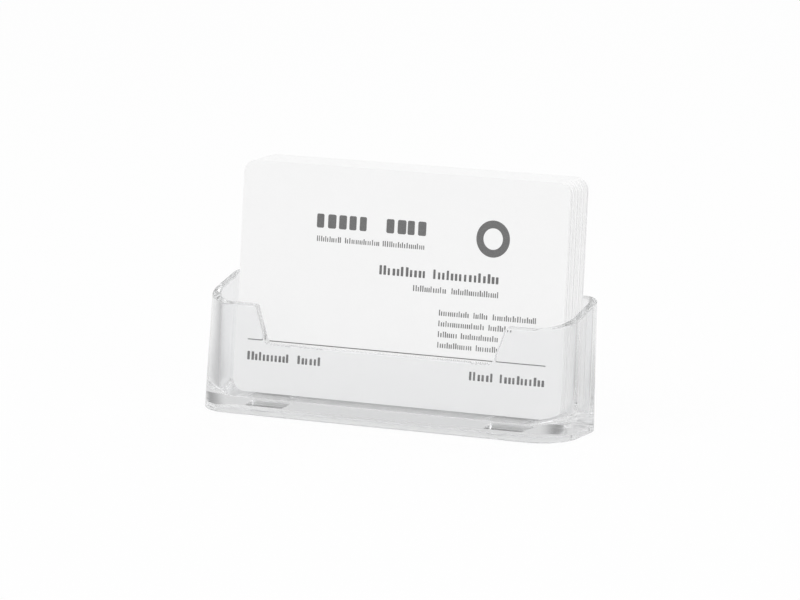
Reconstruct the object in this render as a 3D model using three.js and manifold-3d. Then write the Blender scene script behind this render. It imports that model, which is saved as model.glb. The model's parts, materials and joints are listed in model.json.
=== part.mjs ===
// Business card holder: a clear one-piece moulded tray, open at the top, with a pack of
// round-cornered cards leaning on its back wall.
//
// Millimetres, +Z up, front of the holder towards -Y. The origin is at the middle of the
// underside of the whole object's box, on the table.

import * as THREE from 'three';
import * as BufferGeometryUtils from 'three/addons/utils/BufferGeometryUtils.js';
import Module from 'manifold-3d';

const wasm = await Module();
wasm.setup();

// Driving dimensions of the cards

const cardWidth = 85;
const cardHeight = 55;
const cardThickness = 0.35;
const cardCornerRadius = 3.2;
const cardCount = 25;
const cardGap = 0.05;

// Cards are never stacked quite flush: each lies this far to one side or the other.
const cardStagger = 0.12;

// Driving dimensions of the tray

const wall = 2.0;
const floorThickness = 3.6;
const frontHeight = 25.6;
const backHeight = 31.0;
const lean = THREE.MathUtils.degToRad(6.3);
const outerDraft = THREE.MathUtils.degToRad(1.0);
const innerDraft = THREE.MathUtils.degToRad(0.25);
const frontCornerRadius = 9.0;
const backCornerRadius = 4.0;
const pocketBackCornerRadius = 2.0;

// Room in the pocket, at its floor

const sideClearance = 3.1;
const restingSideGap = 1.95;
const frontRoom = 5.6;
const backClearance = 0.2;
const footClearance = 0.2;

// Thumb notch in the front wall

const wingWidth = 15.4;
const notchDepth = 8.5;
const notchFlare = 3.0;
const notchCornerRadius = 1.6;

// Recess under the floor, inside a narrow standing edge, with two rests left in it

const recessDepth = 1.2;
const standingEdge = 2.4;
const restLength = 10;
const restWidth = 8;
const restInset = 12;

// How finely round stretches are cut

const frontCornerSteps = 12;
const backCornerSteps = 6;
const cardCornerSteps = 8;

// A shape's arc is cut into two chords for each curve segment asked for.
const chordsPerSegment = 2;

// How far a cutting solid runs past what it cuts
const overcut = 5;

// Pack of cards

const cardPitch = cardThickness + cardGap;
const packThickness = cardCount * cardThickness + (cardCount - 1) * cardGap;
const cardLean = Math.atan(Math.tan(lean) + Math.tan(innerDraft));

// Pocket, at its floor

const pocketHalfLength = cardWidth / 2 + sideClearance;
const pocketDepth = packThickness / Math.cos(cardLean) + backClearance + frontRoom;

/** How far the walls have leaned back at a height. */
function leanShift(z) {
  return z * Math.tan(lean);
}

/** Half length and half depth of the pocket at a height: it opens upwards. */
function pocketHalves(z) {
  const opening = (z - floorThickness) * Math.tan(innerDraft);
  return { length: pocketHalfLength + opening, depth: pocketDepth / 2 + opening };
}

/** Half length and half depth of the outside at a height: the walls thin towards the rim. */
function outerHalves(z) {
  const atRim = pocketHalves(backHeight);
  const taper = (backHeight - z) * Math.tan(outerDraft);
  return { length: atRim.length + wall + taper, depth: atRim.depth + wall + taper };
}

/** Points of a round-cornered plan outline at a height, leaned back with the walls. */
function outline(halves, frontRadius, backRadius, z) {
  const points = [];
  const corners = [
    { x: 1, y: -1, radius: frontRadius, steps: frontCornerSteps, start: -Math.PI / 2 },
    { x: 1, y: 1, radius: backRadius, steps: backCornerSteps, start: 0 },
    { x: -1, y: 1, radius: backRadius, steps: backCornerSteps, start: Math.PI / 2 },
    { x: -1, y: -1, radius: frontRadius, steps: frontCornerSteps, start: Math.PI },
  ];
  for (const corner of corners) {
    const cx = corner.x * (halves.length - corner.radius);
    const cy = corner.y * (halves.depth - corner.radius) + leanShift(z);
    for (let i = 0; i <= corner.steps; i += 1) {
      const angle = corner.start + (i / corner.steps) * (Math.PI / 2);
      const x = cx + corner.radius * Math.cos(angle);
      const y = cy + corner.radius * Math.sin(angle);
      points.push(new THREE.Vector3(x, y, z));
    }
  }
  return points;
}

/** Closed geometry through rings of equally many points, each ring convex and level. */
function loft(rings) {
  const count = rings[0].length;
  const positions = rings.flat().flatMap((point) => [point.x, point.y, point.z]);
  const index = [];
  for (let ring = 0; ring + 1 < rings.length; ring += 1) {
    for (let i = 0; i < count; i += 1) {
      const a = ring * count + i;
      const b = ring * count + ((i + 1) % count);
      index.push(a, b, b + count, a, b + count, a + count);
    }
  }
  const top = (rings.length - 1) * count;
  for (let i = 1; i + 1 < count; i += 1) {
    index.push(0, i + 1, i);
    index.push(top, top + i, top + i + 1);
  }
  const geometry = new THREE.BufferGeometry();
  geometry.setAttribute('position', new THREE.Float32BufferAttribute(positions, 3));
  geometry.setIndex(index);
  return geometry;
}

/** Solid for joining and cutting, from a closed geometry. */
function solidOf(geometry) {
  const bare = geometry.clone();
  bare.deleteAttribute('normal');
  bare.deleteAttribute('uv');
  const merged = BufferGeometryUtils.mergeVertices(bare, 1e-5);
  return new wasm.Manifold(new wasm.Mesh({
    numProp: 3,
    vertProperties: new Float32Array(merged.attributes.position.array),
    triVerts: new Uint32Array(merged.index.array),
  }));
}

/** Geometry of a solid, for a mesh. */
function geometryOf(solid) {
  const mesh = solid.getMesh();
  const geometry = new THREE.BufferGeometry();
  geometry.setAttribute('position', new THREE.BufferAttribute(mesh.vertProperties, 3));
  geometry.setIndex(new THREE.BufferAttribute(mesh.triVerts, 1));
  geometry.computeVertexNormals();
  return geometry;
}

/** Everything above the rim, which slopes straight up from the front wall to the back wall. */
function aboveRim() {
  const front = { y: leanShift(frontHeight) - outerHalves(frontHeight).depth, z: frontHeight };
  const back = { y: leanShift(backHeight) + outerHalves(backHeight).depth, z: backHeight };
  const slope = Math.atan2(back.z - front.z, back.y - front.y);
  const length = 2 * outerHalves(0).length + 2 * overcut;
  const run = (back.y - front.y) / Math.cos(slope) + 4 * overcut;
  const height = backHeight;
  const block = new THREE.BoxGeometry(length, run, height);
  block.translate(0, run / 2 - 2 * overcut, height / 2);
  block.rotateX(slope);
  block.translate(0, front.y, front.z);
  return solidOf(block);
}

/** The thumb notch: a flared gap with round lower corners, through the front wall only. */
function thumbNotch() {
  const topHalf = outerHalves(frontHeight).length - wingWidth;
  const bottomHalf = topHalf - notchFlare;
  const bottom = frontHeight - notchDepth;
  const slopeLength = Math.hypot(notchFlare, notchDepth);
  const direction = { x: notchFlare / slopeLength, z: notchDepth / slopeLength };
  const tangent = notchCornerRadius * Math.tan(Math.atan2(notchDepth, notchFlare) / 2);
  const above = overcut / direction.z;

  const shape = new THREE.Shape();
  shape.moveTo(topHalf + above * direction.x, frontHeight + overcut);
  shape.lineTo(bottomHalf + tangent * direction.x, bottom + tangent * direction.z);
  shape.quadraticCurveTo(bottomHalf, bottom, bottomHalf - tangent, bottom);
  shape.lineTo(-bottomHalf + tangent, bottom);
  shape.quadraticCurveTo(
    -bottomHalf,
    bottom,
    -bottomHalf - tangent * direction.x,
    bottom + tangent * direction.z,
  );
  shape.lineTo(-topHalf - above * direction.x, frontHeight + overcut);
  shape.closePath();

  const outside = outerHalves(0).depth + overcut;
  const geometry = new THREE.ExtrudeGeometry(shape, {
    depth: outside,
    bevelEnabled: false,
    curveSegments: 6,
  });
  geometry.rotateX(Math.PI / 2);
  return solidOf(geometry);
}

/** The shallow hollow under the floor, with the two rests left standing in it. */
function undersideRecess() {
  const halves = outerHalves(0);
  const inner = { length: halves.length - standingEdge, depth: halves.depth - standingEdge };
  const frontRadius = frontCornerRadius - standingEdge;
  const lower = outline(inner, frontRadius, pocketBackCornerRadius, 0);
  const rings = [
    lower.map((point) => new THREE.Vector3(point.x, point.y, -overcut)),
    lower.map((point) => new THREE.Vector3(point.x, point.y, recessDepth)),
  ];
  let recess = solidOf(loft(rings));
  for (const side of [-1, 1]) {
    const rest = new THREE.BoxGeometry(restLength, restWidth, 4 * overcut);
    rest.translate(side * (halves.length - restInset - restLength / 2), 0, 0);
    recess = recess.subtract(solidOf(rest));
  }
  return recess;
}

/** The clear moulding. */
function buildTray() {
  const blankTop = backHeight + overcut;
  const blank = loft([0, blankTop].map(
    (z) => outline(outerHalves(z), frontCornerRadius, backCornerRadius, z),
  ));
  const pocket = loft([floorThickness, blankTop + overcut].map(
    (z) => outline(pocketHalves(z), frontCornerRadius - wall, pocketBackCornerRadius, z),
  ));
  const solid = solidOf(blank)
    .subtract(solidOf(pocket))
    .subtract(aboveRim())
    .subtract(thumbNotch())
    .subtract(undersideRecess());

  const tray = new THREE.Mesh(geometryOf(solid), new THREE.MeshStandardMaterial({
    color: 0xe4eaeb,
    roughness: 0.06,
    metalness: 0,
    transparent: true,
    opacity: 0.35,
  }));
  tray.name = 'tray';
  return tray;
}

/** Outline of a card, standing on its long lower edge, centred left to right. */
function cardShape() {
  const right = cardWidth / 2 - cardCornerRadius;
  const low = cardCornerRadius;
  const high = cardHeight - cardCornerRadius;
  const shape = new THREE.Shape();
  shape.absarc(right, low, cardCornerRadius, -Math.PI / 2, 0);
  shape.absarc(right, high, cardCornerRadius, 0, Math.PI / 2);
  shape.absarc(-right, high, cardCornerRadius, Math.PI / 2, Math.PI);
  shape.absarc(-right, low, cardCornerRadius, Math.PI, Math.PI * 1.5);
  shape.closePath();
  return shape;
}

/** The pack, card by card from the front, leaning on the back wall with all feet level. */
function buildPack() {
  const pack = new THREE.Group();
  const foot = floorThickness + footClearance;
  const wallFace = leanShift(foot) + pocketHalves(foot).depth;
  const middle = pocketHalfLength - restingSideGap - cardWidth / 2;
  pack.position.set(middle, wallFace - backClearance / Math.cos(cardLean), foot);
  pack.rotation.x = Math.PI / 2 - cardLean;

  for (let i = 0; i < cardCount; i += 1) {
    const geometry = new THREE.ExtrudeGeometry(cardShape(), {
      depth: cardThickness,
      bevelEnabled: false,
      curveSegments: cardCornerSteps / chordsPerSegment,
    });
    const card = new THREE.Mesh(geometry, new THREE.MeshStandardMaterial({
      color: 0xf6f6f5,
      roughness: 0.6,
      metalness: 0,
    }));
    const forward = (cardCount - 1 - i) * cardPitch;
    const aside = i === 0 ? 0 : cardStagger * Math.sin(2.4 * i);
    card.position.set(aside, -forward * Math.tan(cardLean), forward);
    card.name = i === 0 ? 'front_card' : `card_${String(i + 1).padStart(2, '0')}`;
    pack.add(card);
  }
  return pack;
}

const holder = new THREE.Group();
holder.add(buildTray(), buildPack());

// Put the origin under the middle of the whole object.
const middle = new THREE.Box3().setFromObject(holder, true).getCenter(new THREE.Vector3());
holder.position.set(-middle.x, -middle.y, 0);

export default holder;
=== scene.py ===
"""Business card holder: the looks of its clear tray, its pack of cards and its small studio.

Metres, +Z up, the front of the holder towards -Y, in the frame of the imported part. The tray is
one clear moulding with softly rounded edges, and each card is a piece of its own.
"""

import json
import logging
import math
import random
from dataclasses import dataclass
from enum import Enum
from functools import cache, partial, reduce

import bmesh
import bpy
import numpy as np
from mathutils import Matrix, Vector
from mathutils.geometry import tessellate_polygon


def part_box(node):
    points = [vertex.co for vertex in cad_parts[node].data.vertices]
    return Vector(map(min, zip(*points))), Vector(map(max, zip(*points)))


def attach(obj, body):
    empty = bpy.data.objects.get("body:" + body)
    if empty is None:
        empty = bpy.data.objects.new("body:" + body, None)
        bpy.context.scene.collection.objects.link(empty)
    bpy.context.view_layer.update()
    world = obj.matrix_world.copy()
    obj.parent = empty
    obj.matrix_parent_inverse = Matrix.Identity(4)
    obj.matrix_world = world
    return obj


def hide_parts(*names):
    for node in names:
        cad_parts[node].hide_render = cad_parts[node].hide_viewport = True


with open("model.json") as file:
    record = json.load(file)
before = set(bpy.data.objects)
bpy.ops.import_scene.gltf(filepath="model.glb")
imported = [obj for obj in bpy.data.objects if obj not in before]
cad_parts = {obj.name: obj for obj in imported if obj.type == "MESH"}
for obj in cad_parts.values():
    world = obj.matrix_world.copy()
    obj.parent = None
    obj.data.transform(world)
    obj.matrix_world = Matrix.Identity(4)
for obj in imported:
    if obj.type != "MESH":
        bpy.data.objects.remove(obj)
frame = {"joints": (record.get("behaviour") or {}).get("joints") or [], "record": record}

Pair = tuple[float, float]
Triple = tuple[float, float, float]
Socket = bpy.types.NodeSocket
Material = bpy.types.Material
Points = np.ndarray

MM = 0.001
IMAGE_WIDTH, IMAGE_HEIGHT = 800, 600
NOISE_ROUGHNESS = 0.55
GRAIN_DETAIL = 4.0
SCRATCH_DETAIL = 2.0
SCRATCH_SHARPNESS = 14.0
SCRATCH_STRETCHES = ((1.0, 1.0, 26.0), (22.0, 22.0, 1.5))
BOUNCES_IN_PLASTIC = 28
CLEAR_SURFACES = 16

log = logging.getLogger("card_holder")


class Skin(Enum):
    """Which face of the tray's wall a point lies on."""

    OUTER = "outer"
    INNER = "inner"


class Print(Enum):
    """How a row on the front card is printed: the width of its strokes, as a share of its height."""

    BLOCK = 0.62
    BOLD = 0.3
    PLAIN = 0.2


@dataclass(frozen=True)
class Graph:
    """Adds nodes to one node tree, beside those that it has, and links them."""

    tree: bpy.types.NodeTree

    def feed(self, socket: Socket, value) -> None:
        """Set a socket to a value, or link another socket to it."""
        if isinstance(value, Socket):
            self.tree.links.new(value, socket)
        else:
            socket.default_value = value

    def fill(self, node: bpy.types.Node, inputs: dict) -> None:
        """Set a node's inputs, by name or number, to values or to linked sockets."""
        for name, value in inputs.items():
            self.feed(node.inputs[name], value)

    def node(self, kind: str, inputs: dict | None = None, **options) -> bpy.types.Node:
        """Add a node.

        Args:
            kind: the node's type, without its ShaderNode prefix.
            inputs: for each input, by name or number, a value or a socket to link.
            options: the node's own settings.

        Returns:
            The new node.
        """
        made = self.tree.nodes.new("ShaderNode" + kind)
        for name, value in options.items():
            setattr(made, name, value)
        self.fill(made, inputs or {})
        return made

    def dress(self, shader: bpy.types.Node, settings: dict, height: Socket, depth: float) -> None:
        """Set a shader's inputs and give it relief: heights from 0 to 1, and how deep they go."""
        bump = self.node("Bump", {"Strength": 1.0, "Distance": depth, "Height": height})
        self.fill(shader, {**settings, "Normal": bump.outputs[0]})

    def math(self, operation: str, first, second=0.0) -> Socket:
        """Return the output of a Math node on two values or sockets."""
        return self.node("Math", {0: first, 1: second}, operation=operation).outputs[0]

    def product(self, first, *others) -> Socket:
        """Return the product of several values or sockets."""
        return reduce(partial(self.math, "MULTIPLY"), others, first)

    def ranged(self, value: Socket, span: Pair, result: Pair = (0.0, 1.0)) -> Socket:
        """Map a value smoothly: what comes out goes from one result to the other over the span."""
        inputs = dict(enumerate((value, *span, *result)))
        return self.node("MapRange", inputs, interpolation_type="SMOOTHSTEP").outputs[0]

    def mixed(self, factor, first, second) -> Socket:
        """Return a mix of two colours by a factor."""
        return self.node("Mix", {0: factor, 6: first, 7: second}, data_type="RGBA").outputs[2]

    def level(self, factor, first, second) -> Socket:
        """Return a mix of two numbers by a factor."""
        return self.node("Mix", {0: factor, 2: first, 3: second}, data_type="FLOAT").outputs[0]

    def object_noise(self, scale, detail: float, stretch: Triple) -> Socket:
        """Noise fixed to the object, which may be drawn out along an axis.

        Args:
            scale: how many features lie in a metre.
            detail: how many finer layers the noise has.
            stretch: what each coordinate is multiplied by first.

        Returns:
            The noise's value, about 0.5 on average.
        """
        place = self.node("TexCoord").outputs["Object"]
        drawn = self.node("VectorMath", {0: place, 1: stretch}, operation="MULTIPLY").outputs[0]
        inputs = {"Vector": drawn, "Scale": scale, "Detail": detail, "Roughness": NOISE_ROUGHNESS}
        return self.node("TexNoise", inputs).outputs[0]


def new_group(name: str, inputs: dict[str, float], output: str) -> tuple[Graph, list[Socket], Socket]:
    """Start a shader node group of numbers.

    Args:
        name: the group's name.
        inputs: each input's name and its default.
        output: the name of its one output.

    Returns:
        A graph on the group's tree, the sockets that it is given, and the one that it fills.
    """
    tree = bpy.data.node_groups.new(name, "ShaderNodeTree")
    for label, default in inputs.items():
        made = tree.interface.new_socket(label, in_out="INPUT", socket_type="NodeSocketFloat")
        made.default_value = default
    tree.interface.new_socket(output, in_out="OUTPUT", socket_type="NodeSocketFloat")
    given = tree.nodes.new("NodeGroupInput").outputs
    return Graph(tree), list(given)[: len(inputs)], tree.nodes.new("NodeGroupOutput").inputs[0]


@cache
def grain_group() -> bpy.types.NodeTree:
    """Fine uneven grain: paper fibre, ink mottle or a moulding's faint cloud, by its size."""
    inputs = {"Features per metre": 1000.0, "Contrast": 0.5}
    graph, (features, contrast), value = new_group("fine_grain", inputs, "Value")
    coarse = graph.object_noise(features, GRAIN_DETAIL, (1.0, 1.0, 1.0))
    spread = graph.product(graph.math("SUBTRACT", coarse, 0.5), contrast)
    graph.feed(value, graph.node("Clamp", {0: graph.math("ADD", spread, 0.5)}).outputs[0])
    return graph.tree


@cache
def scratch_group() -> bpy.types.NodeTree:
    """Hairline scratches in two directions, as a mask from 0 to 1."""
    inputs = {"Features per metre": 60.0, "Rarity": 0.7}
    graph, (features, rarity), mask = new_group("hairline_scratches", inputs, "Mask")
    runs = []
    for stretch in SCRATCH_STRETCHES:
        lines = graph.object_noise(features, SCRATCH_DETAIL, stretch)
        above = graph.product(graph.math("SUBTRACT", lines, rarity), SCRATCH_SHARPNESS)
        runs.append(graph.node("Clamp", {0: above}).outputs[0])
    graph.feed(mask, graph.math("MAXIMUM", *runs))
    return graph.tree


def placed(graph: Graph, group: bpy.types.NodeTree, *values: float) -> Socket:
    """Place a node group with its inputs set in order, and return its first output."""
    return graph.node("Group", dict(enumerate(values)), node_tree=group).outputs[0]


def new_material(name: str) -> tuple[Material, Graph, bpy.types.Node]:
    """Start a material on its Principled shader.

    Args:
        name: the material's name.

    Returns:
        The material, a graph on its nodes, and its Principled node.
    """
    material = bpy.data.materials.new(name)
    material.use_nodes = True
    return material, Graph(material.node_tree), material.node_tree.nodes["Principled BSDF"]


def grey(level: float) -> tuple[float, ...]:
    """Return a neutral colour of that level."""
    return level, level, level, 1.0


def mottled(graph: Graph, grain: Socket, tone: float, mottle: float) -> Socket:
    """Return a grey that a grain varies to either side of its tone."""
    return graph.mixed(grain, grey(tone - mottle), grey(tone + mottle))


def in_radians(*angles: float) -> tuple[float, ...]:
    """Return angles given in degrees."""
    return tuple(math.radians(angle) for angle in angles)


def direction(azimuth: float, elevation: float) -> Vector:
    """Return the direction at two angles in degrees, azimuth 0 being in front and 90 to the right."""
    turn, rise = in_radians(azimuth, elevation)
    return Vector((math.sin(turn) * math.cos(rise), -math.cos(turn) * math.cos(rise), math.sin(rise)))


@dataclass(frozen=True)
class Grain:
    """One run of fine grain: how many features lie in a metre, and how strong they are."""

    features: float
    contrast: float

    def on(self, graph: Graph) -> Socket:
        """Place the grain in a material and return its value."""
        return placed(graph, grain_group(), self.features, self.contrast)


@dataclass(frozen=True)
class ClearPlastic:
    """Polished crystal-clear styrene, with the faint flow and handling marks of a moulding."""

    name: str = "clear_plastic"
    ior: float = 1.53
    sheet: Triple = (0.958, 0.961, 0.966)
    dulling: float = 0.012
    tint: Triple = (0.5, 0.56, 0.6)
    density: float = 1.0
    polish: float = 0.012
    smudge: Grain = Grain(90.0, 2.4)
    smudge_span: Pair = (0.45, 0.95)
    smudge_roughness: float = 0.035
    scratches: Pair = (70.0, 0.7)
    scratch_roughness: float = 0.12
    flow: Grain = Grain(45.0, 1.0)
    flow_height: float = 0.02 * MM
    through_light: float = 0.985
    last_bounce: int = 10
    grind: Grain = Grain(1500.0, 1.8)
    grind_span: Pair = (0.1, 0.9)
    # grey levels of the frosted feet: painted shade where they stand, varied by the grind
    ground_and_shade_tones: Pair = (0.612, 0.68)
    ground_roughness: Pair = (0.35, 0.6)
    ground_clearness: float = 0.2

    def ground(self) -> Material:
        """Return the finish of the rests' feet, which are left as ground: frosted, and greyer by painted
        shade where they stand on the floor.
        """
        material, graph, shader = new_material(f"{self.name}_ground")
        grind = self.grind.on(graph)
        settings = {
            # the feet's grey is painted shade of their footing on the floor, over the frosted grind
            "Base Color": graph.mixed(grind, *(grey(tone) for tone in self.ground_and_shade_tones)),
            "Roughness": graph.ranged(grind, self.grind_span, self.ground_roughness),
            "IOR": self.ior,
            "Transmission Weight": self.ground_clearness,
        }
        graph.dress(shader, settings, grind, self.flow_height)
        return material

    def material(self) -> Material:
        """Return the finish as a material, clear to lamps as well as to the eye."""
        material, graph, shader = new_material(self.name)
        smudge = self.smudge.on(graph)
        smudged = self.polish, self.polish + self.smudge_roughness
        marks = graph.product(placed(graph, scratch_group(), *self.scratches), self.scratch_roughness)
        clean, dull = (*self.sheet, 1.0), (*(level - self.dulling for level in self.sheet), 1.0)
        settings = {
            "Base Color": graph.mixed(smudge, clean, dull),
            "Roughness": graph.math("ADD", graph.ranged(smudge, self.smudge_span, smudged), marks),
            "IOR": self.ior,
            "Transmission Weight": 1.0,
        }
        graph.dress(shader, settings, self.flow.on(graph), self.flow_height)

        path = graph.node("LightPath").outputs
        open_to = graph.math("MAXIMUM", path["Is Shadow Ray"], path["Is Diffuse Ray"])
        trapped = graph.math("GREATER_THAN", path["Ray Depth"], self.last_bounce)
        open_to = graph.math("MAXIMUM", open_to, trapped)
        window = graph.node("BsdfTransparent", {0: grey(self.through_light)})
        mix = graph.node("MixShader", {0: open_to, 1: shader.outputs[0], 2: window.outputs[0]})
        depth = graph.node("VolumeAbsorption", {"Color": (*self.tint, 1.0), "Density": self.density})
        output = graph.tree.nodes["Material Output"]
        graph.fill(output, {"Surface": mix.outputs[0], "Volume": depth.outputs[0]})
        return material


@dataclass(frozen=True)
class CardBoard:
    """Smooth white card: faint fibre, a matt face and hardly any colour."""

    name: str = "card_face"
    tone: float = 0.925
    mottle: float = 0.012
    fibre: Grain = Grain(2600.0, 1.6)
    cloud: Grain = Grain(2600.0 / 30, 1.2)
    fibre_span: Pair = (0.2, 0.8)
    roughness: Pair = (0.52, 0.64)
    gloss: float = 0.3
    fibre_height: float = 0.006 * MM

    def material(self) -> Material:
        """Return the finish as a material."""
        material, graph, shader = new_material(self.name)
        fibre = self.fibre.on(graph)
        both = graph.product(graph.math("ADD", fibre, self.cloud.on(graph)), 0.5)
        settings = {
            "Base Color": mottled(graph, both, self.tone, self.mottle),
            "Roughness": graph.ranged(fibre, self.fibre_span, self.roughness),
            "Specular IOR Level": self.gloss,
        }
        graph.dress(shader, settings, fibre, self.fibre_height)
        return material


@dataclass(frozen=True)
class Ink:
    """Dark grey printing ink, which covers a little unevenly."""

    name: str = "grey_ink"
    tone: float = 0.16
    mottle: float = 0.05
    cover: Grain = Grain(5200.0, 2.0)
    roughness: Pair = (0.42, 0.55)
    relief: float = 0.004 * MM

    def material(self) -> Material:
        """Return the finish as a material."""
        material, graph, shader = new_material(self.name)
        cover = self.cover.on(graph)
        settings = {
            "Base Color": mottled(graph, cover, self.tone, self.mottle),
            "Roughness": graph.ranged(cover, (0.0, 1.0), self.roughness),
        }
        graph.dress(shader, settings, cover, self.relief)
        return material


def turn_from(graph: Graph, towards: Socket, azimuth: float) -> Socket:
    """How far a direction is turned, either way, from one that lies to the left of straight back.

    Args:
        graph: the graph that takes the nodes.
        towards: the socket with the direction or place.
        azimuth: how many degrees to the left that one lies.

    Returns:
        The turn in radians.
    """
    parts = graph.node("SeparateXYZ", {0: towards}).outputs
    heading = graph.math("ARCTAN2", parts["X"], parts["Y"])
    return graph.math("ABSOLUTE", graph.math("ADD", heading, math.radians(azimuth)))


@dataclass(frozen=True)
class PaleFloor:
    """Pale matt table top that reads as a white ground and keeps a soft shadow.

    Gloss and glass see it darker in the tray's own shade and at the far sides of the studio.
    """

    name: str = "pale_floor"
    tone: float = 0.86
    mottle: float = 0.008
    cloud: Grain = Grain(25.0, 1.5)
    roughness: float = 0.8
    gloss: float = 0.1
    whitening: float = 0.92
    whitening_in_glass: float = 0.08
    near_tone: float = 0.79
    near_reach: Pair = (45.0 * MM, 60.0 * MM)
    side_tone: float = 0.5
    side_middle: float = 18.5
    side_turn: Pair = in_radians(36.0, 74.0)
    side_reach: Pair = (55.0 * MM, 85.0 * MM)

    def shaded(self, graph: Graph, tone: Socket, in_glass: Socket) -> Socket:
        """Shade the floor that glass shows: in the tray's own shade, and at the studio's darker sides.

        Args:
            graph: the floor's graph.
            tone: the socket with the floor's colour.
            in_glass: a socket that is 1 for rays from gloss or glass.

        Returns:
            The shaded colour.
        """
        place = graph.node("TexCoord").outputs["Object"]
        reach = graph.node("VectorMath", {0: place}, operation="LENGTH").outputs["Value"]
        near = graph.product(in_glass, graph.ranged(reach, self.near_reach, (1.0, 0.0)))
        turned = graph.ranged(turn_from(graph, place, self.side_middle), self.side_turn)
        aside = graph.product(in_glass, turned, graph.ranged(reach, self.side_reach))
        return graph.mixed(aside, graph.mixed(near, tone, grey(self.near_tone)), grey(self.side_tone))

    def material(self) -> Material:
        """Return the finish: whitened for the camera, and less so in gloss and glass."""
        material, graph, shader = new_material(self.name)
        tone = mottled(graph, self.cloud.on(graph), self.tone, self.mottle)
        path = graph.node("LightPath").outputs
        in_glass = graph.math("MAXIMUM", path["Is Glossy Ray"], path["Is Transmission Ray"])
        graph.fill(shader, {
            "Base Color": self.shaded(graph, tone, in_glass),
            "Roughness": self.roughness,
            "Specular IOR Level": self.gloss,
        })
        shares = (path["Is Camera Ray"], self.whitening), (in_glass, self.whitening_in_glass)
        share = graph.math("MAXIMUM", *(graph.product(*pair) for pair in shares))
        white = graph.node("Emission", {0: grey(1.0), 1: 1.0})
        mix = graph.node("MixShader", {0: share, 1: shader.outputs[0], 2: white.outputs[0]})
        graph.fill(graph.tree.nodes["Material Output"], {"Surface": mix.outputs[0]})
        return material


def in_scene(name: str, data: bpy.types.ID) -> bpy.types.Object:
    """Make an object of a mesh, a light or a camera, and link it to the scene."""
    made = bpy.data.objects.new(name, data)
    bpy.context.scene.collection.objects.link(made)
    return made


class Shell:
    """Points and faces of one mesh, which grows by rings and caps."""

    def __init__(self) -> None:
        """Start with no points."""
        self.points: list[Points] = []
        self.faces: list[tuple[int, ...]] = []
        self.slots: dict[int, int] = {}
        self.count = 0

    def ring(self, points: Points) -> range:
        """Add a ring of points and return their numbers."""
        self.points.append(points)
        self.count += len(points)
        return range(self.count - len(points), self.count)

    def band(self, lower: range, upper: range) -> None:
        """Join two rings of equally many points with a closed band of faces."""
        size = len(lower)
        for i in range(size):
            j = (i + 1) % size
            self.faces.append((lower[i], lower[j], upper[j], upper[i]))

    def tube(self, rings: list[Points]) -> tuple[range, range]:
        """Add rings joined by bands.

        Args:
            rings: the rings, in order.

        Returns:
            The numbers of the first and of the last ring's points.
        """
        numbers = [self.ring(points) for points in rings]
        for lower, upper in zip(numbers, numbers[1:]):
            self.band(lower, upper)
        return numbers[0], numbers[-1]

    def cap(self, ring: range, slot: int = 0) -> None:
        """Close a ring with one flat face, which may take the second material."""
        self.slots[len(self.faces)] = slot
        self.faces.append(tuple(ring))

    def plate(self, rim: range, holes: list[range]) -> None:
        """Fill a flat ring that has holes in it.

        Args:
            rim: the outer ring's numbers.
            holes: the numbers of each hole's ring.
        """
        loops = [rim, *holes]
        numbers = [number for loop in loops for number in loop]
        every = np.concatenate(self.points)
        outlines = [[Vector(every[number]) for number in loop] for loop in loops]
        for corner in tessellate_polygon(outlines):
            self.faces.append(tuple(numbers[i] for i in corner))

    def closed(self, rings: list[Points]) -> None:
        """Add a closed body: a tube through the rings, capped at both ends."""
        first, last = self.tube(rings)
        self.cap(first)
        self.cap(last)

    def build(self, name: str, *materials: Material) -> bpy.types.Object:
        """Make the object, smoothly shaded, with every face turned outwards.

        Args:
            name: the piece's name.
            materials: its finish, and that of the caps in slot 1 if it has any.

        Returns:
            The new object.
        """
        mesh = bpy.data.meshes.new(name)
        mesh.from_pydata(np.concatenate(self.points).tolist(), [], self.faces)
        slots = [self.slots.get(number, 0) for number in range(len(self.faces))]
        mesh.polygons.foreach_set("material_index", slots)
        work = bmesh.new()
        work.from_mesh(mesh)
        bmesh.ops.recalc_face_normals(work, faces=work.faces)
        work.to_mesh(mesh)
        work.free()
        mesh.polygons.foreach_set("use_smooth", [True] * len(mesh.polygons))
        for material in materials:
            mesh.materials.append(material)
        made = in_scene(name, mesh)
        even = made.modifiers.new("flat_faces_stay_flat", "WEIGHTED_NORMAL")
        even.mode = "FACE_AREA"
        return made


def unit(vectors: Points) -> Points:
    """Return each row scaled to length 1."""
    return vectors / np.linalg.norm(vectors, axis=-1, keepdims=True)


def fillet(corner: Points, one: Points, other: Points, radius, steps: int) -> list[Points]:
    """Round off a corner with a circular arc that touches both of its legs.

    Args:
        corner: corner points, one a row.
        one: unit vectors from each corner along the leg that the arc starts on.
        other: the same for the leg that it ends on.
        radius: the arc's radius, one for all or one a row.
        steps: how many chords the arc has.

    Returns:
        The arc's points, step by step, each with one row for each corner.
    """
    angle = np.arccos(np.clip((one * other).sum(-1), -1, 1))
    reach = (radius / np.tan(angle / 2))[..., None]
    start, end = corner + one * reach, corner + other * reach
    weight = np.sin(angle / 2)[..., None]
    arc = []
    for t in np.linspace(0, 1, steps + 1):
        shares = (1 - t) ** 2, 2 * weight * t * (1 - t), t**2
        total = shares[0] + shares[1] + shares[2]
        arc.append((start * shares[0] + corner * shares[1] + end * shares[2]) / total)
    return arc


def quarter(radius: float, steps: int) -> list[Pair]:
    """Return a quarter round, each point by how far it stands off the two faces that it joins."""
    turns = np.linspace(0, math.pi / 2, steps + 1)
    return [(radius * (1 - math.cos(turn)), radius * (1 - math.sin(turn))) for turn in turns]


def between(first: Points, last: Points, steps: int) -> list[Points]:
    """Return the rings strictly between two rings, evenly spaced, steps bands in all."""
    return [first + (last - first) * (i / steps) for i in range(1, steps)]


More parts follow.
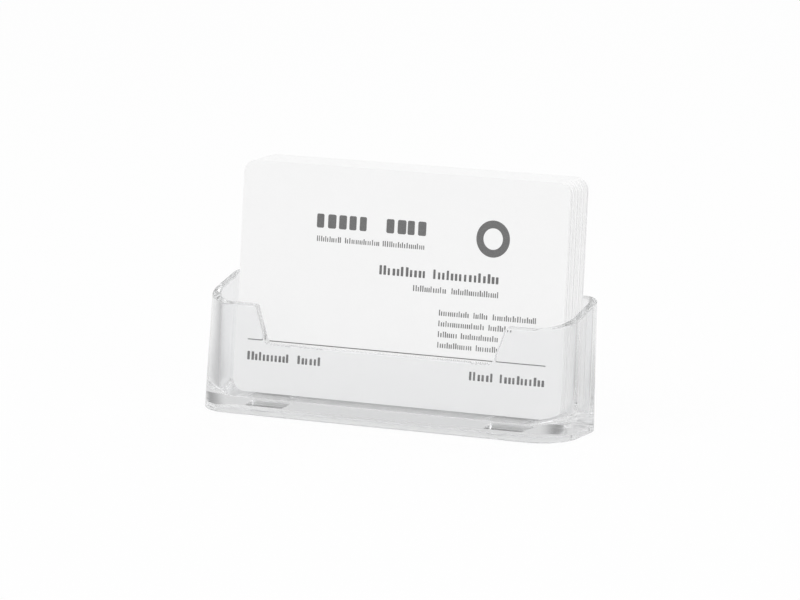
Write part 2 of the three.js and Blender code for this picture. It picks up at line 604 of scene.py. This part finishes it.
def rounded_outline(half_x: float, half_y: float, radius: float, steps: int) -> Points:
    """Outline of a rectangle with round corners, anticlockwise, centred.

    Args:
        half_x: half its length.
        half_y: half its height.
        radius: its corners' radius.
        steps: how many chords each corner has.

    Returns:
        The outline's points, two numbers a row.
    """
    points = []
    for quarter, (sx, sy) in enumerate(((1, -1), (1, 1), (-1, 1), (-1, -1))):
        for angle in np.linspace(quarter - 1, quarter, steps + 1) * math.pi / 2:
            x = sx * (half_x - radius) + radius * math.cos(angle)
            y = sy * (half_y - radius) + radius * math.sin(angle)
            points.append((x, y))
    return np.array(points)


@dataclass
class Tray:
    """The holder: a clear one-piece moulding, open at the top, with a thumb notch in front."""

    node: str = "tray"
    body: str = "holder"
    wall: float = 2.0 * MM
    floor: float = 3.6 * MM
    front_height: float = 25.6 * MM
    lean: float = math.radians(6.3)
    outer_draft: float = math.radians(1.0)
    inner_draft: float = math.radians(0.25)
    front_radius: float = 9.0 * MM
    back_radius: float = 4.0 * MM
    pocket_back_radius: float = 2.0 * MM
    wing_width: float = 15.4 * MM
    notch_depth: float = 8.5 * MM
    notch_flare: float = 3.0 * MM
    notch_foot_radius: float = 1.6 * MM
    notch_top_radius: float = 1.0 * MM
    recess_depth: float = 1.2 * MM
    standing_edge: float = 2.4 * MM
    rest_length: float = 10.0 * MM
    rest_width: float = 8.0 * MM
    rest_inset: float = 12.0 * MM
    rim_round: float = 0.4 * MM
    foot_round: float = 0.45 * MM
    recess_round: float = 0.2 * MM
    pocket_round: float = 2.6 * MM
    pocket_front_round: float = 0.3 * MM
    pocket_back_round: float = 0.2 * MM
    pocket_end_blend: Pair = (7.0 * MM, 6.0 * MM)
    pocket_side_blend: float = 4.0 * MM
    rest_corner: float = 0.8 * MM
    front_flat: float = 37.4 * MM
    probe: float = 1.0 * MM
    nudge: float = 0.1 * MM
    shrink: float = 0.3 * MM
    passes: int = 6
    fine_steps: int = 3
    rest_steps: int = 5
    edge_steps: int = 6
    pocket_steps: int = 12
    wall_bands: int = 12
    finish: ClearPlastic = ClearPlastic()

    def __post_init__(self) -> None:
        """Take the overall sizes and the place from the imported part, and set out the stations."""
        low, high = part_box(self.node)
        self.back_height = high.z
        self.half_length = (high.x - low.x) / 2
        thinned = self.back_height * math.tan(self.outer_draft)
        leaned = self.back_height * math.tan(self.lean)
        self.half_depth = (high.y - low.y - leaned + thinned) / 2
        self.middle_y = low.y + self.half_depth
        self.turns = self.lay_out_turns()
        front = self.leaned(self.front_height) - self.halves(Skin.OUTER, self.front_height)[1]
        back = self.leaned(self.back_height) + self.halves(Skin.OUTER, self.back_height)[1]
        self.rim_start = front
        self.rim_slope = (self.back_height - self.front_height) / (back - front)
        self.fronts = {skin: self.notch_edge(self.front_rim(skin)) for skin in Skin}

    def leaned(self, z):
        """Return the middle of the walls in Y at a height."""
        return self.middle_y + z * math.tan(self.lean)

    def halves(self, skin: Skin, z) -> tuple:
        """Half length and half depth of one face of the walls.

        Args:
            skin: which face.
            z: the height, a number or an array.

        Returns:
            The half length and the half depth there.
        """
        if skin is Skin.OUTER:
            thinned = z * math.tan(self.outer_draft)
        else:
            rim = self.back_height
            thinned = rim * math.tan(self.outer_draft) + self.wall
            thinned = thinned + (rim - z) * math.tan(self.inner_draft)
        return self.half_length - thinned, self.half_depth - thinned

    def radii(self, skin: Skin) -> Pair:
        """Return the plan radii of the front and the back corners of one face."""
        if skin is Skin.OUTER:
            return self.front_radius, self.back_radius
        return self.front_radius - self.wall, self.pocket_back_radius

    def front_rim(self, skin: Skin) -> float:
        """Return the rim's height over one face of the front wall."""
        z = self.front_height
        for _ in range(self.passes):
            y = self.leaned(z) - self.halves(skin, z)[1]
            z = self.front_height + (y - self.rim_start) * self.rim_slope
        return z

    def notch_edge(self, top: float) -> Points:
        """The front wall's upper edge, from left to right, down through the thumb notch.

        Args:
            top: the rim's height beside the notch.

        Returns:
            Points of X and Z, one a row.
        """
        bottom = self.front_height - self.notch_depth
        high_half = self.half_length - self.front_height * math.tan(self.outer_draft) - self.wing_width
        low_half = high_half - self.notch_flare
        rise = self.notch_flare / self.notch_depth
        foot = np.array([[low_half, bottom]])
        head = np.array([[low_half + (top - bottom) * rise, top]])
        upward, inward = unit(head - foot), np.array([[-1.0, 0.0]])
        foot_steps, flank_bands, head_steps, middle_points, wing_points = 10, 9, 8, 13, 6
        foot_arc = fillet(foot, inward, upward, self.notch_foot_radius, foot_steps)
        head_arc = fillet(head, -upward, -inward, self.notch_top_radius, head_steps)
        flank = between(foot_arc[-1], head_arc[0], flank_bands)
        run = np.concatenate([*foot_arc, *flank, *head_arc])
        middle = np.linspace((0, bottom), run[0], middle_points)[:-1]
        wing = np.linspace(run[-1], (self.front_flat, top), wing_points)[1:]
        right = np.concatenate([middle, run, wing])
        left = right[:0:-1] * (-1, 1)
        return np.concatenate([left, right])

    def lay_out_turns(self) -> Points:
        """Stations past the front edge, anticlockwise from its right end.

        Returns:
            One row a station: two corners as side, end and angle, and the share of the second.
        """
        front_steps, back_steps, side_steps, rear_steps = 36, 14, 8, 28
        corners = (
            (1, -1, -90, front_steps, side_steps),
            (1, 1, 0, back_steps, rear_steps),
            (-1, 1, 90, back_steps, side_steps),
            (-1, -1, 180, front_steps, 0),
        )
        rows = []
        for number, (side, end, start, steps, span) in enumerate(corners):
            for angle in np.radians(np.linspace(start, start + 90, steps + 1)):
                rows.append((side, end, angle, side, end, angle, 0.0))
            last = math.radians(start + 90)
            for i in range(1, span):
                rows.append((side, end, last, *corners[number + 1][:2], last, i / span))
        return np.array(rows)

    def outline(self, skin: Skin, z, halves: tuple, radii: Pair) -> Points:
        """Plan outline of the tray, leaned back with its walls.

        Args:
            skin: the face whose front edge gives the first stations.
            z: the height, one for all stations or one for each.
            halves: the half length and the half depth there.
            radii: the front and the back corners' radii.

        Returns:
            One point a station.
        """
        front_x = self.fronts[skin][:, 0]
        count = len(front_x)
        z = np.broadcast_to(np.asarray(z, float), (count + len(self.turns),))
        length, depth = (np.broadcast_to(half, z.shape) for half in halves)
        points = np.zeros((len(z), 3))
        points[:, 2] = z
        points[:count, 0] = front_x
        points[:count, 1] = -depth[:count]
        ends = []
        for side, end, angle in (self.turns[:, 0:3].T, self.turns[:, 3:6].T):
            radius = np.where(end < 0, *radii)
            x = side * (length[count:] - radius) + radius * np.cos(angle)
            y = end * (depth[count:] - radius) + radius * np.sin(angle)
            ends.append(np.column_stack([x, y]))
        share = self.turns[:, 6:7]
        points[count:, :2] = ends[0] * (1 - share) + ends[1] * share
        points[:, 1] += self.leaned(z)
        return points

    def at(self, skin: Skin, z) -> Points:
        """Return one point a station on one face of the walls, at a height or at each one's own."""
        return self.outline(skin, z, self.halves(skin, z), self.radii(skin))

    def rim(self, skin: Skin) -> Points:
        """Return the sharp edge of the rim on one face, one point a station."""
        front = self.fronts[skin]
        points = self.at(skin, self.front_height)
        for _ in range(self.passes):
            z = self.front_height + (points[:, 1] - self.rim_start) * self.rim_slope
            z[: len(front)] = front[:, 1]
            points = self.at(skin, z)
        return points

    def down_from(self, skin: Skin, edge: Points) -> Points:
        """Unit vectors down a face of the wall, square to the rim where that is the notch.

        Args:
            skin: which face.
            edge: the rim's edge on it.

        Returns:
            One vector a station.
        """
        down = unit(self.at(skin, edge[:, 2] - self.nudge) - edge)
        front = len(self.fronts[skin])
        along = unit(np.roll(edge, -1, 0) - np.roll(edge, 1, 0))[:front]
        lengthways = (down[:front] * along).sum(1, keepdims=True)
        down[:front] = unit(down[:front] - along * lengthways)
        return down

    def inset_outline(self, inset: float, z: float) -> Points:
        """Outline under the floor, upright in itself, moved in from the foot.

        Args:
            inset: how far it lies inside the outline of the foot.
            z: its height.

        Returns:
            One point a station.
        """
        halves = self.half_length - inset, self.half_depth - inset
        radii = self.front_radius - inset, max(self.back_radius - inset, self.pocket_back_radius)
        points = self.outline(Skin.OUTER, 0.0, halves, radii)
        points[:, 2] = z
        return points

    def pocket_radii(self, ring: Points) -> Points:
        """Return the pocket floor's fillet at each station: hardly any where the cards stand."""
        length, depth = self.halves(Skin.INNER, self.floor)
        start, run = self.pocket_end_blend
        sideways = np.clip((np.abs(ring[:, 0]) - length + start) / run, 0, 1)
        before = self.pocket_front_round + (self.pocket_round - self.pocket_front_round) * sideways
        ahead = self.leaned(self.floor) + depth - ring[:, 1]
        forward = np.clip(ahead / self.pocket_side_blend, 0, 1)
        return self.pocket_back_round + (before - self.pocket_back_round) * forward

    def profile(self) -> list[Points]:
        """Rings round the wall, from the recess underneath, over the rim, to the pocket's floor."""
        ceiling = self.inset_outline(self.standing_edge, self.recess_depth)
        inside = self.inset_outline(self.standing_edge + self.probe / 2, self.recess_depth) - ceiling
        ledge = self.inset_outline(self.standing_edge, 0.0)
        foot, bottom = self.at(Skin.OUTER, 0.0), self.at(Skin.INNER, self.floor)
        outer, inner = self.rim(Skin.OUTER), self.rim(Skin.INNER)
        outward, across = unit(foot - ledge), unit(inner - outer)
        upright = np.array([0.0, 0.0, 1.0])
        foot_up = unit(self.at(Skin.OUTER, self.probe) - foot)
        pocket_up = unit(self.at(Skin.INNER, self.floor + self.probe) - bottom)
        pocket_in = unit(self.shrunk(bottom))
        outer_down, inner_down = self.down_from(Skin.OUTER, outer), self.down_from(Skin.INNER, inner)

        fine, edge, wall = self.fine_steps, self.edge_steps, self.wall_bands
        ceiling_arc = fillet(ceiling, unit(inside), -upright, self.recess_round, fine)
        ledge_arc = fillet(ledge, upright, outward, self.recess_round / 2, fine)
        foot_arc = fillet(foot, -outward, foot_up, self.foot_round, edge)
        outer_arc = fillet(outer, outer_down, across, self.rim_round, edge)
        inner_arc = fillet(inner, -across, inner_down, self.rim_round, edge)
        pocket_arc = fillet(bottom, pocket_up, pocket_in, self.pocket_radii(bottom), self.pocket_steps)
        return [
            *ceiling_arc,
            *ledge_arc,
            *between(ledge_arc[-1], foot_arc[0], fine),
            *foot_arc,
            *between(foot_arc[-1], outer_arc[0], wall),
            *outer_arc,
            *between(outer_arc[-1], inner_arc[0], fine),
            *inner_arc,
            *between(inner_arc[-1], pocket_arc[0], wall),
            *pocket_arc,
        ]

    def shrunk(self, bottom: Points) -> Points:
        """Return the plan vectors from the pocket floor's outline towards a smaller copy of it."""
        length, depth = self.halves(Skin.INNER, self.floor)
        halves = length - self.shrink, depth - self.shrink
        radii = tuple(radius - self.shrink for radius in self.radii(Skin.INNER))
        return self.outline(Skin.INNER, self.floor, halves, radii) - bottom

    def rest(self, side: int) -> list[Points]:
        """Rings of one moulded rest in the recess, from its root down to its foot.

        Args:
            side: -1 for the left one, 1 for the right one.

        Returns:
            The rings, top first.
        """
        middle_x = side * (self.half_length - self.rest_inset - self.rest_length / 2)
        foot = quarter(self.recess_round, self.fine_steps)
        root = [(-z, self.recess_depth - inset) for inset, z in foot]
        rings = []
        for inset, z in root + foot:
            sizes = self.rest_length / 2 - inset, self.rest_width / 2 - inset, self.rest_corner - inset
            flat = rounded_outline(*sizes, self.rest_steps) + (middle_x, self.middle_y)
            rings.append(np.column_stack([flat, np.full(len(flat), z)]))
        return rings

    def build(self) -> bpy.types.Object:
        """Make the moulding, with its material.

        Returns:
            The finished piece, riding on its body.
        """
        shell = Shell()
        ceiling, floor = shell.tube(self.profile())
        shell.cap(floor)
        roots = []
        for side in (-1, 1):
            root, foot = shell.tube(self.rest(side))
            shell.cap(foot, 1)
            roots.append(root)
        shell.plate(ceiling, roots)
        made = shell.build("tray_moulding", self.finish.material(), self.finish.ground())
        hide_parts(self.node)
        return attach(made, self.body)


@dataclass
class Card:
    """One round-cornered card of the pack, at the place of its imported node."""

    node: str
    body: str
    corner_radius: float = 3.2 * MM
    edge_round: float = 0.05 * MM
    swell: float = 0.034 * MM
    edge_steps: int = 3
    corner_steps: int = 12

    def __post_init__(self) -> None:
        """Work out the card's lean, size and place from the joint and the node's box."""
        axis = next(joint["axis"] for joint in frame["joints"] if joint["child"] == "front_card")
        sine, cosine = axis[1] / math.hypot(*axis), axis[2] / math.hypot(*axis)
        low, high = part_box(self.node)
        deep, tall = high.y - low.y, high.z - low.z
        spread = cosine**2 - sine**2
        self.width = high.x - low.x
        self.height = (tall * cosine - deep * sine) / spread
        self.thickness = (deep * cosine - tall * sine) / spread
        right, up, front = Vector((1, 0, 0)), Vector((0, sine, cosine)), Vector((0, -cosine, sine))
        foot = Vector(((low.x + high.x) / 2, low.y + self.thickness * cosine, low.z))
        self.middle = foot + up * (self.height / 2) + front * (self.thickness / 2)
        self.axes = np.array([right, up, front])

    def placed(self, flat: Points, height: float) -> Points:
        """Put points of the card's own plane where it leans, a height forward of its middle plane."""
        local = np.column_stack([flat, np.full(len(flat), height)])
        return local @ self.axes + np.array(self.middle)

    def face(self) -> float:
        """Return how far the front face lies forward of the middle plane."""
        return (self.thickness + self.swell) / 2

    def build(self, stock: Material) -> bpy.types.Object:
        """Make the card.

        Args:
            stock: the board's material.

        Returns:
            The finished piece, riding on its body.
        """
        rounding = quarter(self.edge_round, self.edge_steps)
        edge = [(inset, self.face() - drop) for drop, inset in rounding]
        edge += [(inset, -height) for inset, height in reversed(edge)]
        rings = []
        for inset, height in edge:
            sizes = self.width / 2 - inset, self.height / 2 - inset, self.corner_radius - inset
            rings.append(self.placed(rounded_outline(*sizes, self.corner_steps), height))
        shell = Shell()
        shell.closed(rings)
        made = shell.build(f"{self.node}_board", stock)
        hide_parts(self.node)
        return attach(made, self.body)


@dataclass(frozen=True)
class WordRow:
    """A row of plain strokes that stands for words, in millimetres from the card's lower corner."""

    start: float
    foot: float
    height: float
    words: tuple[float, ...]
    weight: Print = Print.PLAIN


@dataclass
class CardPrint:
    """Generic print of the front card: rows of plain strokes, a ring and a thin rule."""

    card: Card
    film: float = 0.012 * MM
    clearance: float = 0.002 * MM
    ring_middle: Pair = (66.0, 40.8)
    ring_radii: Pair = (4.3, 2.5)
    rule_start: float = 3.5
    rule_length: float = 77.5
    rule_foot: float = 12.35
    rule_height: float = 0.22
    end_round: float = 0.2
    end_steps: int = 4
    ring_points: int = 64
    tall_share: float = 0.25
    low_height: float = 0.74
    stroke_spread: Pair = (0.85, 1.1)
    step_spread: Pair = (1.0, 1.1)
    letter_gaps: Triple = (0.17, 0.2, 0.26)
    word_gap: float = 0.7
    seed: int = 7
    rows: tuple[WordRow, ...] = (
        WordRow(20.0, 40.2, 3.3, (16.0, 12.5), Print.BLOCK),
        WordRow(20.2, 37.0, 1.3, (6.5, 9.0, 11.0)),
        WordRow(37.0, 30.4, 2.2, (12.5, 17.5), Print.BOLD),
        WordRow(46.0, 27.2, 1.4, (9.0, 12.5)),
        WordRow(53.0, 22.0, 1.35, (8.0, 4.0, 11.5)),
        WordRow(53.0, 19.5, 1.35, (12.0, 6.5)),
        WordRow(53.0, 17.0, 1.35, (5.0, 9.5)),
        WordRow(53.0, 14.5, 1.35, (9.0, 7.0)),
        WordRow(3.6, 7.6, 2.0, (12.0, 7.0), Print.BOLD),
        WordRow(62.0, 7.6, 2.0, (6.5, 11.5), Print.BOLD),
    )

    def word(self, shell: Shell, row: WordRow, left: float, length: float, chance: random.Random) -> None:
        """Add one word: a run of upright strokes of uneven height and spacing.

        Args:
            shell: the mesh that takes it.
            row: the row that it stands in.
            left: where it starts.
            length: how long it is.
            chance: the row's own run of random numbers.
        """
        width = row.height * row.weight.value
        x = left
        while x + width <= left + length:
            tall = x == left or chance.random() < self.tall_share
            height = row.height * (1.0 if tall or row.weight is Print.BLOCK else self.low_height)
            self.bar(shell, x, row.foot, width * chance.uniform(*self.stroke_spread), height)
            x += width * chance.uniform(*self.step_spread) + row.height * chance.choice(self.letter_gaps)

    def bar(self, shell: Shell, left: float, foot: float, length: float, height: float) -> None:
        """Add one bar with softly rounded ends.

        Args:
            shell: the mesh that takes it.
            left: its left end, from the card's corner, in millimetres.
            foot: its lower edge.
            length: its length.
            height: its height.
        """
        radius = min(height, length) * self.end_round
        outline = rounded_outline(length / 2, height / 2, radius, self.end_steps)
        shell.closed(self.sheet(outline + (left + length / 2, foot + height / 2)))

    def sheet(self, outline: Points) -> list[Points]:
        """Return the rings of an ink film of one outline: its back and its front."""
        half = np.array([self.card.width, self.card.height]) / 2
        back = self.card.face() + self.clearance
        return [self.card.placed(outline * MM - half, back + depth) for depth in (0.0, self.film)]

    def emblem(self, shell: Shell) -> None:
        """Add the plain ring."""
        angles = np.linspace(0, 2 * math.pi, self.ring_points, endpoint=False)
        circle = np.column_stack([np.cos(angles), np.sin(angles)])
        outer, inner = (self.sheet(circle * radius + self.ring_middle) for radius in self.ring_radii)
        loops = [shell.ring(points) for points in outer + inner[::-1]]
        for lower, upper in zip(loops, loops[1:] + loops[:1]):
            shell.band(lower, upper)

    def build(self, ink: Material) -> bpy.types.Object:
        """Make the print as one thin film of ink.

        Args:
            ink: the ink's material.

        Returns:
            The finished piece, riding on the front card's body.
        """
        shell = Shell()
        for number, row in enumerate(self.rows):
            chance = random.Random(self.seed + number)
            left = row.start
            for word in row.words:
                self.word(shell, row, left, word, chance)
                left += word + row.height * self.word_gap
        self.bar(shell, self.rule_start, self.rule_foot, self.rule_length, self.rule_height)
        self.emblem(shell)
        made = shell.build("front_card_print", ink)
        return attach(made, self.card.body)


@dataclass
class Pack:
    """The cards: the printed one in front and the plain ones behind it."""

    board: CardBoard = CardBoard()
    ink: Ink = Ink()
    tones: int = 3
    tone_step: float = 0.006
    shuffle: int = 7

    def build(self) -> list[bpy.types.Object]:
        """Make every card and the front card's print.

        Returns:
            The finished pieces, front card first.
        """
        stocks = [
            CardBoard(f"{self.board.name}_{i + 1}", self.board.tone - i * self.tone_step).material()
            for i in range(self.tones)
        ]
        bodies = frame["record"]["behaviour"]["bodies"]
        made = []
        for body in ("front_card", "card_pack"):
            for number, node in enumerate(bodies[body]):
                card = Card(node, body)
                made.append(card.build(stocks[number * self.shuffle % self.tones]))
                if body == "front_card":
                    made.append(CardPrint(card).build(self.ink.material()))
        return made


@dataclass(frozen=True)
class Lamp:
    """A soft square lamp, aimed at the holder."""

    name: str
    azimuth: float
    elevation: float
    distance: float
    size: float
    power: float

    def build(self, target: Vector) -> None:
        """Hang the lamp, azimuth 0 being in front and 90 to the right."""
        light = bpy.data.lights.new(self.name, "AREA")
        light.shape, light.size, light.energy = "SQUARE", self.size, self.power
        towards = direction(self.azimuth, self.elevation)
        made = in_scene(self.name, light)
        made.location = target + towards * self.distance
        made.rotation_euler = towards.to_track_quat("Z", "Y").to_euler()


@dataclass
class Studio:
    """Pale floor, even surround light and soft lamps."""

    floor: PaleFloor = PaleFloor()
    floor_half: float = 8.0
    floor_drop: float = 0.05 * MM
    surround: float = 0.8
    backdrop: float = 0.72
    overhead: float = 0.92
    flags: float = 0.3
    backdrop_azimuth: float = 26.7
    flag_inner: Pair = in_radians(12.0, 32.0)
    flag_outer: Pair = in_radians(38.0, 62.0)
    flag_top: Pair = in_radians(19.9, 20.4)
    backdrop_top: Pair = (0.37, 0.52)
    aim_height: float = 25.0 * MM
    lamps: tuple[Lamp, ...] = (
        Lamp("key_lamp", -35.0, 48.0, 1.3, 0.9, 3.16),
        Lamp("fill_lamp", 75.0, 28.0, 1.4, 1.0, 3.52),
        Lamp("back_lamp", 170.0, 50.0, 1.4, 0.8, 1.72),
    )

    def build_floor(self) -> None:
        """Lay the floor just under the tray's standing edge."""
        half = self.floor_half
        signs = (-1, -1), (1, -1), (1, 1), (-1, 1)
        corners = [(x * half, y * half, -self.floor_drop) for x, y in signs]
        mesh = bpy.data.meshes.new("floor")
        mesh.from_pydata(corners, [], [(0, 1, 2, 3)])
        mesh.materials.append(self.floor.material())
        made = in_scene("floor", mesh)

    def surroundings(self, graph: Graph) -> Socket:
        """What gloss and glass show above the floor: a pale backdrop between two dark flags.

        Args:
            graph: the world's graph.

        Returns:
            The level of light from each direction.
        """
        towards = graph.node("TexCoord").outputs["Generated"]
        rise = graph.node("SeparateXYZ", {0: towards}).outputs["Z"]
        turn = turn_from(graph, towards, self.backdrop_azimuth)
        entering = graph.ranged(turn, self.flag_inner)
        leaving = graph.ranged(turn, self.flag_outer, (1.0, 0.0))
        low = graph.ranged(rise, tuple(math.sin(angle) for angle in self.flag_top), (1.0, 0.0))
        pale = graph.ranged(rise, self.backdrop_top, (self.backdrop, self.overhead))
        return graph.level(graph.product(entering, leaving, low), pale, self.flags)

    def build_surround(self) -> None:
        """Set the world: even light, white to the eye, and in gloss and glass a small studio."""
        world = bpy.data.worlds.new("surround")
        world.use_nodes = True
        bpy.context.scene.world = world
        graph = Graph(world.node_tree)
        path = graph.node("LightPath").outputs
        shown = graph.math("MAXIMUM", path["Is Glossy Ray"], path["Is Transmission Ray"])
        level = graph.level(shown, self.surround, self.surroundings(graph))
        strength = graph.level(path["Is Camera Ray"], level, 1.0)
        graph.fill(graph.tree.nodes["Background"], {"Color": grey(1.0), "Strength": strength})

    def build(self) -> None:
        """Make the floor, the world and the lamps."""
        self.build_floor()
        self.build_surround()
        for lamp in self.lamps:
            lamp.build(Vector((0.0, 0.0, self.aim_height)))


@dataclass(frozen=True)
class ViewPoint:
    """The photograph's camera, found from the sizes of the tray and its cards."""

    focal_pixels: float = 5305.2
    azimuth: float = 26.727
    elevation: float = 10.401
    roll: float = -0.179
    depth: float = 1245.5 * MM
    origin_pixel: Pair = (397.0, 418.24)
    sensor: float = 36.0
    clip: Pair = (0.05, 100.0)

    def build(self) -> None:
        """Set the camera so that the row frame's origin falls on its pixel."""
        turn, roll = in_radians(self.azimuth, self.roll)
        back = direction(self.azimuth, self.elevation)
        level = Vector((math.cos(turn), math.sin(turn), 0.0))
        upright = back.cross(level)
        right = level * math.cos(roll) + upright * math.sin(roll)
        up = back.cross(right)
        aside = (self.origin_pixel[0] - IMAGE_WIDTH / 2) * self.depth / self.focal_pixels
        below = (self.origin_pixel[1] - IMAGE_HEIGHT / 2) * self.depth / self.focal_pixels
        place = back * self.depth - right * aside + up * below
        camera = bpy.data.cameras.new("camera")
        camera.sensor_width = self.sensor
        camera.lens = self.focal_pixels * self.sensor / IMAGE_WIDTH
        camera.clip_start, camera.clip_end = self.clip
        made = in_scene("camera", camera)
        made.matrix_world = Matrix.Translation(place) @ Matrix((right, up, back)).transposed().to_4x4()
        bpy.context.scene.camera = made


def let_light_through() -> None:
    """Let light be reflected often enough inside the clear walls to find its way out again."""
    cycles = bpy.context.scene.cycles
    cycles.max_bounces = cycles.glossy_bounces = cycles.transmission_bounces = BOUNCES_IN_PLASTIC
    cycles.transparent_max_bounces = CLEAR_SURFACES


def main() -> None:
    """Build the holder, its cards, the studio and the camera, and report each piece."""
    logging.basicConfig(level=logging.INFO, format="%(name)s: %(message)s")
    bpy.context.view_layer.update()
    ViewPoint().build()
    let_light_through()
    bpy.context.scene.view_settings.view_transform = "Standard"
    for piece in (Tray().build(), *Pack().build()):
        log.info("%s: %d faces", piece.name, len(piece.data.polygons))
    Studio().build()


if __name__ == "__main__":
    main()
